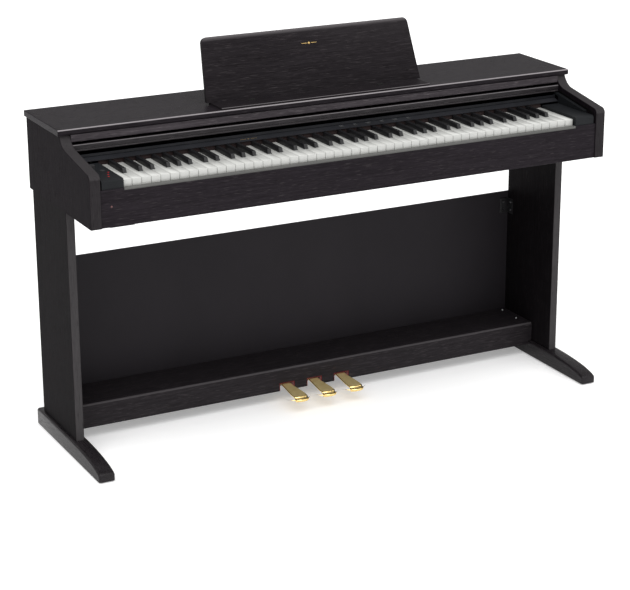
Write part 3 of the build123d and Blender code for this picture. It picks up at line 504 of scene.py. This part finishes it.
# ---- keys
keyboard = {
    "gap": 0.0011,
    "head": 0.0525,           # wide part in front of the sharps
    "tops": 0.1473,           # visible length of a natural
    "depth": 0.022,
    "softEdge": 0.0008,
    "sharpWidth": 0.0110,
    "clearance": 0.0012,      # free space beside a sharp
    "pairShift": 0.0032,      # how far C and D sharp stand off the middle of their gap
    "trioShift": 0.0042,      # the same for F and A sharp
    "sharpRise": 0.0104,
    "sharpFoot": 0.0030,
    "sharpStart": 0.0006,
    "sharpRound": 0.0014,
    "nose": 0.0042,
    "draft": 0.0009,
    "stemStart": 0.004,       # dark stem under a sharp
    "stemHeight": 0.012,
    "stemLap": 0.0005,
    "leverWidth": 0.0090,
    "leverHeight": 0.0140,
    "leverDrop": 0.0050,
    "leverLap": 0.001,
    "firstSingle": 23,
}
keyCount = 52
letters = "ABCDEFG"
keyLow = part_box("bass_naturals")[0]
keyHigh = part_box("treble_naturals")[1]
keyPitch = (keyHigh.x - keyLow.x + keyboard["gap"]) / keyCount
keyTop = keyHigh.z
keyTail = keyHigh.y


def keyLetter(number):
    return letters[number % 7]


def keyLeft(number):
    return keyLow.x - keyboard["gap"] / 2 + number * keyPitch


def hasSharp(number):
    return 0 <= number < keyCount - 1 and keyLetter(number) in "ACDFG"


def sharpMiddle(number):
    pair, trio = keyboard["pairShift"], keyboard["trioShift"]
    shift = {"C": -pair, "D": pair, "F": -trio, "G": 0.0, "A": trio}[keyLetter(number)]
    return keyLeft(number + 1) + shift


def leverBlock(bm, middle, start):
    half = keyboard["leverWidth"] / 2
    top = keyTop - keyboard["leverDrop"]
    box(bm, (middle - half, start, top - keyboard["leverHeight"]), (middle + half, keyTail, top))


def naturalKey(bm, number):
    left = keyLeft(number) + keyboard["gap"] / 2
    right = keyLeft(number + 1) - keyboard["gap"] / 2
    slot = keyboard["sharpWidth"] / 2 + keyboard["clearance"]
    tailLeft = sharpMiddle(number - 1) + slot if hasSharp(number - 1) else left
    tailRight = sharpMiddle(number) - slot if hasSharp(number) else right
    front = keyLow.y
    step = front + keyboard["head"] - keyboard["gap"]
    back = front + keyboard["tops"]
    outline = [(left, front), (right, front), (right, step)]
    if hasSharp(number):
        outline += [(tailRight, step)]
    outline += [(tailRight, back), (tailLeft, back)]
    if hasSharp(number - 1):
        outline += [(tailLeft, step)]
    outline += [(left, step)]
    corners = []
    for spot in outline:
        if spot not in corners:
            corners.append(spot)
    verts = slab(bm, [(x, y, keyTop) for x, y in corners], (0, 0, -keyboard["depth"]))
    crown = [edge for edge in edgesOf(verts)
             if all(vert.co.z > keyTop - near for vert in edge.verts) or
             all(vert.co.y < front + near for vert in edge.verts)]
    softenEdges(bm, crown, keyboard["softEdge"], 2)
    leverBlock(bm, (tailLeft + tailRight) / 2, back - keyboard["leverLap"])


def sharpKey(bm, number):
    middle = sharpMiddle(number)
    half = keyboard["sharpWidth"] / 2
    front = keyLow.y + keyboard["head"] + keyboard["sharpStart"]
    back = keyLow.y + keyboard["tops"]
    top = keyTop + keyboard["sharpRise"]
    foot = keyTop - keyboard["sharpFoot"]
    verts = box(bm, (middle - half, front, foot), (middle + half, back, top))
    for vert in verts:
        if vert.co.z > keyTop:
            vert.co.x += keyboard["draft"] * (1 if vert.co.x < middle else -1)
            if vert.co.y < (front + back) / 2:
                vert.co.y += keyboard["nose"]
    rounded = [edge for edge in edgesOf(verts) if not all(v.co.z < keyTop for v in edge.verts)]
    softenEdges(bm, rounded, keyboard["sharpRound"], 3)
    stemHalf = keyboard["leverWidth"] / 2
    box(bm, (middle - stemHalf, front + keyboard["stemStart"],
             keyTop - keyboard["leverDrop"] - keyboard["stemHeight"]),
        (middle + stemHalf, back, foot + keyboard["stemLap"]))
    leverBlock(bm, middle, back - keyboard["leverLap"])


def makeKeys(name, body, numbers, maker, look):
    bm = bmesh.new()
    for number in numbers:
        maker(bm, number)
    keep(name, bm, look, body, [body])


first = keyboard["firstSingle"]
bassRange, trebleRange = range(first), range(first + 3, keyCount)
makeKeys("bassNaturalKeys", "bass_naturals", bassRange, naturalKey, "white")
makeKeys("trebleNaturalKeys", "treble_naturals", trebleRange, naturalKey, "white")
makeKeys("bassSharpKeys", "bass_sharps", filter(hasSharp, bassRange), sharpKey, "black")
makeKeys("trebleSharpKeys", "treble_sharps", filter(hasSharp, trebleRange), sharpKey, "black")
for number, letter in enumerate("cde", first):
    makeKeys("naturalKey" + letter.upper(), "key_" + letter, [number], naturalKey, "white")
    if hasSharp(number):
        makeKeys("sharpKey" + letter.upper(), "key_" + letter + "_sharp", [number], sharpKey, "black")
print("keys made")


# ---- pedals
pedalShape = {
    "halfTip": 0.0190,
    "halfNeck": 0.0135,
    "neckStart": 0.030,       # behind the tip; the tip is round up to here
    "neckRun": 0.066,
    "crown": 0.0016,
    "wall": 0.0042,
    "tipRound": 0.0085,
    "rimRound": 0.0011,
    "hubPlace": (0.140, 0.058),
    "hubRadius": 0.0095,
    "hubEase": 0.0005,
    "hubRound": 0.0008,
    "columns": 12,
    # distance behind the tip and height of the upper face, from under the lip to the tail
    "line": [(0.0050, 0.0328), (0.0018, 0.0338), (0.0002, 0.0362), (0.0008, 0.0388), (0.0032, 0.0408),
             (0.0070, 0.0419), (0.0104, 0.0425), (0.0116, 0.0446), (0.0136, 0.0457), (0.0170, 0.0460),
             (0.0260, 0.0464), (0.0400, 0.0470), (0.0600, 0.0479),
             (0.0850, 0.0488), (0.1080, 0.0510), (0.1270, 0.0545), (0.1500, 0.0590), (0.1760, 0.0650),
             (0.2000, 0.0655), (0.2105, 0.0638)],
}


def pedalHalfWidth(reach):
    tip, neck = pedalShape["halfTip"], pedalShape["halfNeck"]
    blend = min(1.0, max(0.0, (reach - pedalShape["neckStart"]) / pedalShape["neckRun"]))
    blend = blend * blend * (3 - 2 * blend)
    return tip + (neck - tip) * blend


def makePedal(node):
    low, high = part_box(node)
    middle = (low.x + high.x) / 2
    line, neck = pedalShape["line"], pedalShape["halfNeck"]
    bm = bmesh.new()
    made = bmesh.ops.create_grid(bm, x_segments=pedalShape["columns"], y_segments=len(line) - 1,
                                 size=1.0)
    for vert in made["verts"]:
        across = vert.co.x
        reach, height = line[round((vert.co.y + 1) / 2 * (len(line) - 1))]
        half = pedalHalfWidth(reach)
        sweep = pedalShape["tipRound"] * abs(across) ** 2.4
        sweep *= max(0.0, 1 - reach / pedalShape["neckStart"])
        fall = pedalShape["crown"] * across ** 2 * (1.0 if reach > 0.004 else 0.4)
        vert.co = (middle + across * half, low.y + reach + sweep, height - fall)
    bmesh.ops.recalc_face_normals(bm, faces=bm.faces)
    if sum(face.normal.z for face in bm.faces) < 0:
        bmesh.ops.reverse_faces(bm, faces=bm.faces)
    bmesh.ops.solidify(bm, geom=bm.faces, thickness=pedalShape["wall"])
    bmesh.ops.recalc_face_normals(bm, faces=bm.faces)
    rim = [edge for edge in bm.edges if len(edge.link_faces) == 2 and edge.calc_face_angle() > 1.1]
    softenEdges(bm, rim, pedalShape["rimRound"], 3)
    radius, ease = pedalShape["hubRadius"], pedalShape["hubEase"]
    place = Matrix.Translation((middle, *pedalShape["hubPlace"])) @ Matrix.Rotation(math.pi / 2, 4, "Y")
    hub = bmesh.ops.create_cone(bm, cap_ends=True, segments=32, radius1=radius, radius2=radius,
                                depth=2 * neck - 2 * ease, matrix=place)
    rims = [edge for edge in edgesOf(hub["verts"]) if edge.calc_length() < 0.002 and
            abs(abs(edge.verts[0].co.x - middle) - neck + ease) < 1e-4]
    softenEdges(bm, rims, pedalShape["hubRound"], 2)
    keep(node.replace("_pedal", "PedalCast"), bm, "gold", node, [node], 50.0)


for node in ("soft_pedal", "sostenuto_pedal", "damper_pedal"):
    makePedal(node)
print("pedals made")


# ---- music rest
restShape = {
    "width": 0.600,
    "topWidth": 0.574,
    "length": 0.160,
    "lean": 19.3,
    "thickness": 0.012,
    "tuck": 0.008,            # run on below the ledge, then cut level
    "corner": 0.013,
    "softEdge": 0.0011,
    "front": 0.031,
    "markDrop": 0.040,
    "markLift": 0.0003,
}
restFoot = Vector((0, restShape["front"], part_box("rest_ledge")[1].z))
# local x along the board, y up its slope, z out of its front face
restTurn = Matrix.Translation(restFoot) @ Matrix.Rotation(math.radians(90 - restShape["lean"]), 4, "X")


def makeRest():
    bm = bmesh.new()
    wide, narrow = restShape["width"] / 2, restShape["topWidth"] / 2
    tall, foot = restShape["length"], -restShape["tuck"]
    slab(bm, [(-wide, foot, 0), (wide, foot, 0), (narrow, tall, 0), (-narrow, tall, 0)],
         (0, 0, -restShape["thickness"]))
    ends = [edge for edge in bm.edges if abs(edge.verts[0].co.z - edge.verts[1].co.z) > 0.01 and
            edge.verts[0].co.y > 0.1]
    softenEdges(bm, ends, restShape["corner"], 6)
    rims = [edge for edge in bm.edges if edge.calc_face_angle() > 1.2 and
            max(vert.co.y for vert in edge.verts) > 0]
    softenEdges(bm, rims, restShape["softEdge"], 2)
    bmesh.ops.transform(bm, matrix=restTurn, verts=bm.verts)
    cut = bmesh.ops.bisect_plane(bm, geom=bm.verts[:] + bm.edges[:] + bm.faces[:], plane_co=restFoot,
                                 plane_no=(0, 0, 1), clear_inner=True)
    openEdges = [item for item in cut["geom_cut"] if isinstance(item, bmesh.types.BMEdge)]
    bmesh.ops.holes_fill(bm, edges=openEdges, sides=0)
    keep("restBoard", bm, "rest", "rest", ["music_rest"])


def makeRestMark():
    # small plain inlay: a lozenge between two thin bars
    bm = bmesh.new()
    up = restShape["length"] - restShape["markDrop"]
    lift = (0, 0, restShape["markLift"])
    slab(bm, [(-0.004, up, 0), (0, up - 0.0028, 0), (0.004, up, 0), (0, up + 0.0028, 0)], lift)
    for side in bothSides:
        inner, outer = side * 0.0065, side * 0.0215
        slab(bm, [(inner, up - 0.0008, 0), (outer, up - 0.0003, 0), (outer, up + 0.0003, 0),
                  (inner, up + 0.0008, 0)], lift)
    bmesh.ops.transform(bm, matrix=restTurn, verts=bm.verts)
    keep("restInlay", bm, "goldMark", "rest")


makeRest()
makeRestMark()
print("music rest made")


# ---- screw heads
screws = {
    "radius": 0.0045,
    "smallRadius": 0.0036,
    "height": 0.0021,
    "crown": 0.82,            # share of the radius left at the top
    "socket": 0.0018,
    "depth": 0.0012,
}


def screwHead(bm, seat, outward, radius):
    # button head with a six-sided socket, its seat on a surface and its axis outward
    outward = Vector(outward)
    crown = radius * screws["crown"]
    verts = bmesh.ops.create_cone(bm, cap_ends=True, segments=24, radius1=radius, radius2=crown,
                                  depth=screws["height"])["verts"]
    top = max({face for vert in verts for face in vert.link_faces},
              key=lambda face: face.calc_center_median().z)
    inner = bmesh.ops.inset_region(bm, faces=[top], thickness=crown - screws["socket"])
    for vert in top.verts:
        turn = math.atan2(vert.co.y, vert.co.x) % (math.pi / 3) - math.pi / 6
        reach = screws["socket"] * math.cos(math.pi / 6) / math.cos(turn)
        flat = Vector((vert.co.x, vert.co.y)).normalized() * reach
        vert.co.x, vert.co.y = flat
    sunk = bmesh.ops.extrude_face_region(bm, geom=[top])
    down = [item for item in sunk["geom"] if isinstance(item, bmesh.types.BMVert)]
    bmesh.ops.delete(bm, geom=[top], context="FACES_ONLY")
    bmesh.ops.translate(bm, verts=down, vec=(0, 0, -screws["depth"]))
    everything = set(verts) | set(down) | {v for face in inner["faces"] for v in face.verts}
    place = Matrix.Translation(Vector(seat) + outward * screws["height"] / 2)
    bmesh.ops.transform(bm, matrix=place @ outward.to_track_quat("Z", "Y").to_matrix().to_4x4(),
                        verts=list(everything))


def makeJointScrews():
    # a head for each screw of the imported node, on the side that faces into the room
    solids = []
    loose = bmesh.new()
    loose.from_mesh(nodes["joint_screws"].data)
    bmesh.ops.remove_doubles(loose, verts=loose.verts, dist=1e-6)
    seen = set()
    for vert in loose.verts:
        if vert in seen:
            continue
        pile, island = [vert], []
        seen.add(vert)
        while pile:
            here = pile.pop()
            island.append(here.co.copy())
            for edge in here.link_edges:
                there = edge.other_vert(here)
                if there not in seen:
                    seen.add(there)
                    pile.append(there)
        low = Vector([min(p[i] for p in island) for i in range(3)])
        high = Vector([max(p[i] for p in island) for i in range(3)])
        solids.append((low, high))
    loose.free()
    bm = bmesh.new()
    for low, high in solids:
        middle, size = (low + high) / 2, high - low
        axis = min(range(3), key=lambda i: size[i])
        outward = Vector((0, 0, 0))
        if axis == 0:
            outward.x = -1 if middle.x > 0 else 1
        elif axis == 1:
            outward.y = 1
        else:
            outward.z = -1
        screwHead(bm, middle - outward * size[axis] / 2, outward, screws["radius"])
    keep("jointScrewHeads", bm, "brightSteel", "cabinet", ["joint_screws"])


makeJointScrews()
print("screws made")


# ---- feet
footShape = {
    # distance behind the toe and height of the upper line, from the toe up to the full height
    "line": [(0.0, 0.0165), (0.0007, 0.0192), (0.0028, 0.0218), (0.0065, 0.0240), (0.0120, 0.0261),
             (0.0200, 0.0285), (0.0320, 0.0312), (0.0480, 0.0341), (0.0680, 0.0368), (0.0900, 0.0390),
             (0.1140, 0.0408), (0.1400, 0.0421), (0.1650, 0.0428), (0.1800, 0.0430)],
    "softEdge": 0.0062,
}


def makeFoot(node, name):
    low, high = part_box(node)
    top = high.z
    rise = [(low.y + back, min(top, height)) for back, height in footShape["line"]]
    outline = [(low.y, low.z)] + rise + [(high.y, top), (high.y, low.z)]
    bm = bmesh.new()
    slab(bm, [(low.x, y, z) for y, z in outline], (high.x - low.x, 0, 0))
    rims = [edge for edge in bm.edges
            if abs(edge.verts[0].co.x - edge.verts[1].co.x) < near and
            max(vert.co.z for vert in edge.verts) > low.z + 0.001]
    heel = [edge for edge in bm.edges
            if all(vert.co.y > high.y - near and vert.co.z > top - near for vert in edge.verts)]
    softenEdges(bm, rims + heel, footShape["softEdge"], 4)
    keep(name, bm, "foot", "cabinet", [node], 42.0)


makeFoot("left_foot", "leftFootRail")
makeFoot("right_foot", "rightFootRail")
print("feet made")


# ---- fittings seen on the stand
fittings = {
    "shelfScrews": [(0.6586, 0.0986), (0.6615, 0.1740)],   # from the middle, and back
    "bracketHeight": (0.378, 0.420),
    "bracketReach": 0.026,
    "bracketPlate": 0.0018,
    "bracketRound": 0.0005,
    "bracketScrewReach": 0.62,     # share of the reach
    "bracketScrewInset": 0.010,
    "rearScrews": [-0.62, -0.37, -0.12, 0.12, 0.37, 0.62],
    "rearScrewInset": 0.012,
}


def screwPiece(name, seats, look):
    bm = bmesh.new()
    for seat, outward in seats:
        screwHead(bm, seat, outward, screws["smallRadius"])
    keep(name, bm, look, "cabinet")


def makeCornerBrackets():
    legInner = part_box("right_leg")[0].x
    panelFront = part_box("back_panel")[0].y
    low, high = fittings["bracketHeight"]
    reach, plate = fittings["bracketReach"], fittings["bracketPlate"]
    screwReach = reach * fittings["bracketScrewReach"]
    inset = fittings["bracketScrewInset"]
    bm = bmesh.new()
    seats = []
    for side in bothSides:
        wall = side * legInner
        inward = -side
        onLeg = (wall, panelFront - reach, low), (wall + inward * plate, panelFront, high)
        onPanel = (wall, panelFront - plate, low), (wall + inward * reach, panelFront, high)
        for start, end in (onLeg, onPanel):
            corners = [tuple(sorted(pair)) for pair in zip(start, end)]
            verts = box(bm, [pair[0] for pair in corners], [pair[1] for pair in corners])
            softenEdges(bm, edgesOf(verts), fittings["bracketRound"], 2)
        for height in (low + inset, high - inset):
            seats.append(((wall + inward * plate, panelFront - screwReach, height), (inward, 0, 0)))
            seats.append(((wall + inward * screwReach, panelFront - plate, height), (0, -1, 0)))
    keep("panelCornerBrackets", bm, "blackSteel", "cabinet")
    screwPiece("panelBracketScrews", seats, "darkScrew")


def makeShelfScrews():
    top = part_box("pedal_shelf")[1].z
    seats = [((side * x, y, top), (0, 0, 1)) for side in bothSides for x, y in fittings["shelfScrews"]]
    screwPiece("shelfScrewHeads", seats, "brightSteel")


def makeRearScrews():
    low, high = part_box("rear_board")
    rows = (low.z + fittings["rearScrewInset"], high.z - fittings["rearScrewInset"])
    seats = [((x, high.y, z), (0, 1, 0)) for z in rows for x in fittings["rearScrews"]]
    screwPiece("rearBoardScrews", seats, "darkScrew")


makeCornerBrackets()
makeShelfScrews()
makeRearScrews()
print("fittings made")


# ---- control marks and painted slot shade
marks = {
    "lift": 0.00015,
    # heights of marks on the control face are measured up its slope
    "faceRise": 0.0012,
    "faceRun": 0.014,
    "faceDrop": 0.0075,
    "symbolRow": [0.030 + 0.038 * step for step in range(6)],
    "symbolHalfWidths": [0.0060, 0.0040, 0.0075, 0.0050, 0.0065, 0.0035],
    "symbolBand": (0.0122, 0.0128),
    "tickBand": (0.0108, 0.0116),
    "tickHalfWidth": 0.0006,
    "goldPlace": (-0.2265, 0.0075),
    "goldHalf": (0.003, 0.002),
    "goldBar": (0.006, 0.022),
    "goldBarHalf": 0.0006,
    "redDots": [(-0.6290, -0.1460), (-0.6365, -0.1640), (-0.6420, -0.1810)],
    "dotRadius": 0.0023,
    "slotHeight": 0.0045,
    "slotDepth": 0.0003,
    "slotSlope": 9.0,
    "slotReach": 0.024,       # in front of the runners
    "slotBack": -0.040,
}
nameLow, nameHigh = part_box("name_board")
faceFoot = Vector((0, nameLow.y, nameLow.z + marks["faceRise"]))
faceHead = Vector((0, nameLow.y + marks["faceRun"], nameHigh.z - marks["faceDrop"]))
faceUp = (faceHead - faceFoot).normalized()
faceOut = Vector((0, -faceUp.z, faceUp.y))


def facePatch(bm, outline):
    # a thin patch on the sloping control face; outline holds x and the distance up the face
    slab(bm, [Vector((x, 0, 0)) + faceFoot + faceUp * up for x, up in outline],
         faceOut * marks["lift"])


def faceBar(bm, start, end, low, high):
    facePatch(bm, [(start, low), (end, low), (end, high), (start, high)])


def makeFaceSymbols():
    # a plain bar with a tick under it at each control
    bm = bmesh.new()
    tick = marks["tickHalfWidth"]
    for x, half in zip(marks["symbolRow"], marks["symbolHalfWidths"]):
        faceBar(bm, x - half, x + half, *marks["symbolBand"])
        faceBar(bm, x - tick, x + tick, *marks["tickBand"])
    keep("faceSymbols", bm, "silverMark", "cabinet")


def makeFaceInlay():
    # small plain inlay: a lozenge between two thin bars
    bm = bmesh.new()
    middle, up = marks["goldPlace"]
    across, tall = marks["goldHalf"]
    inner, outer = marks["goldBar"]
    half = marks["goldBarHalf"]
    facePatch(bm, [(middle - across, up), (middle, up - tall), (middle + across, up),
                   (middle, up + tall)])
    for side in bothSides:
        faceBar(bm, middle + side * inner, middle + side * outer, up - half, up + half)
    keep("faceInlay", bm, "goldMark", "cabinet")


def makeControlDots():
    # red dots beside the power button, on the left cheek block
    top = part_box("left_cheek_block")[1].z
    bm = bmesh.new()
    for x, y in marks["redDots"]:
        bmesh.ops.create_cone(bm, cap_ends=True, segments=16, radius1=marks["dotRadius"],
                              radius2=marks["dotRadius"], depth=2 * marks["lift"],
                              matrix=Matrix.Translation((x, y, top)))
    keep("controlDots", bm, "redMark", "cabinet")


def makeSlotShadeStrips():
    # painted shade: thin near-black strips on the arms, standing for the shade in the slots in which
    # the cover's ends run
    guideLow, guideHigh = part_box("cover_guides")
    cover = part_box("key_cover")[0]
    slope = math.tan(math.radians(marks["slotSlope"]))
    front, back = guideLow.y - marks["slotReach"], marks["slotBack"]
    frontFoot, backFoot = [cover.z + (y - cover.y) * slope for y in (front, back)]
    high = marks["slotHeight"]
    bm = bmesh.new()
    for side in bothSides:
        wall = side * guideHigh.x
        slab(bm, [(wall, front, frontFoot), (wall, back, backFoot), (wall, back, backFoot + high),
                  (wall, front, frontFoot + high)], (-side * marks["slotDepth"], 0, 0))
    keep("coverSlotShade", bm, "slotShade", "cabinet")


makeFaceSymbols()
makeFaceInlay()
makeControlDots()
makeSlotShadeStrips()
print("marks made")


# ---- volume knob
knobShape = {
    "ribs": 36,
    "ribDepth": 0.0004,
    "capHeight": 0.006,
    "capTaper": 0.97,
    "rimLift": 0.0004,
    "rimWidth": 0.0012,
    "dishWidth": 0.0006,
    "dishDepth": 0.0005,
    "pointerHalf": 0.0006,
    "pointerReach": (0.8, 0.3),     # shares of the radius
    "pointerDrop": (0.0009, 0.0003),
    "pointerRound": 0.0001,
    "stemRadius": 0.0028,
    "stemLength": 0.008,
    "stemRise": 0.0002,
    "stemRound": 0.0003,
}


def makeKnob():
    low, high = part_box("volume_knob")
    middle = (low + high) / 2
    radius = (high.x - low.x) / 2
    height, lift = knobShape["capHeight"], knobShape["rimLift"]
    bm = bmesh.new()
    made = bmesh.ops.create_cone(bm, cap_ends=True, segments=knobShape["ribs"] * 2, radius1=radius,
                                 radius2=radius * knobShape["capTaper"], depth=height)
    for vert in made["verts"]:
        turn = math.atan2(vert.co.y, vert.co.x) / (math.pi / knobShape["ribs"])
        if round(turn) % 2:
            vert.co.xy *= 1 - knobShape["ribDepth"] / radius
    top = max(bm.faces, key=lambda face: face.calc_center_median().z)
    bmesh.ops.inset_region(bm, faces=[top], thickness=knobShape["rimWidth"], depth=lift)
    bmesh.ops.inset_region(bm, faces=[top], thickness=knobShape["dishWidth"],
                           depth=-knobShape["dishDepth"])
    bmesh.ops.translate(bm, verts=bm.verts, vec=(middle.x, middle.y, high.z - height / 2 - lift))

    half = knobShape["pointerHalf"]
    outer, inner = [middle.y - radius * share for share in knobShape["pointerReach"]]
    under, over = [high.z - drop for drop in knobShape["pointerDrop"]]
    pointer = box(bm, (middle.x - half, outer, under), (middle.x + half, inner, over))
    softenEdges(bm, edgesOf(pointer), knobShape["pointerRound"], 1)

    stemRadius, stemLength = knobShape["stemRadius"], knobShape["stemLength"]
    place = Matrix.Translation((middle.x, middle.y, low.z + knobShape["stemRise"] + stemLength / 2))
    stem = bmesh.ops.create_cone(bm, cap_ends=True, segments=24, radius1=stemRadius,
                                 radius2=stemRadius, depth=stemLength, matrix=place)
    stemTop = [edge for edge in edgesOf(stem["verts"])
               if all(vert.co.z > low.z + stemLength for vert in edge.verts)]
    softenEdges(bm, stemTop, knobShape["stemRound"], 1)
    keep("volumeKnobCap", bm, "button", "volume_knob", ["volume_knob"], 30.0)


makeKnob()
print("knob made")


# ---- floor
def makeFloor():
    bm = bmesh.new()
    bmesh.ops.create_grid(bm, x_segments=1, y_segments=1, size=studio["floorSize"] / 2)
    mesh = bpy.data.meshes.new("studioFloor")
    bm.to_mesh(mesh)
    bm.free()
    mesh.materials.append(studioFloor("floorPale"))
    floorPiece = bpy.data.objects.new("studioFloor", mesh)
    scene.collection.objects.link(floorPiece)


makeFloor()
print("floor made")

print("pieces done")
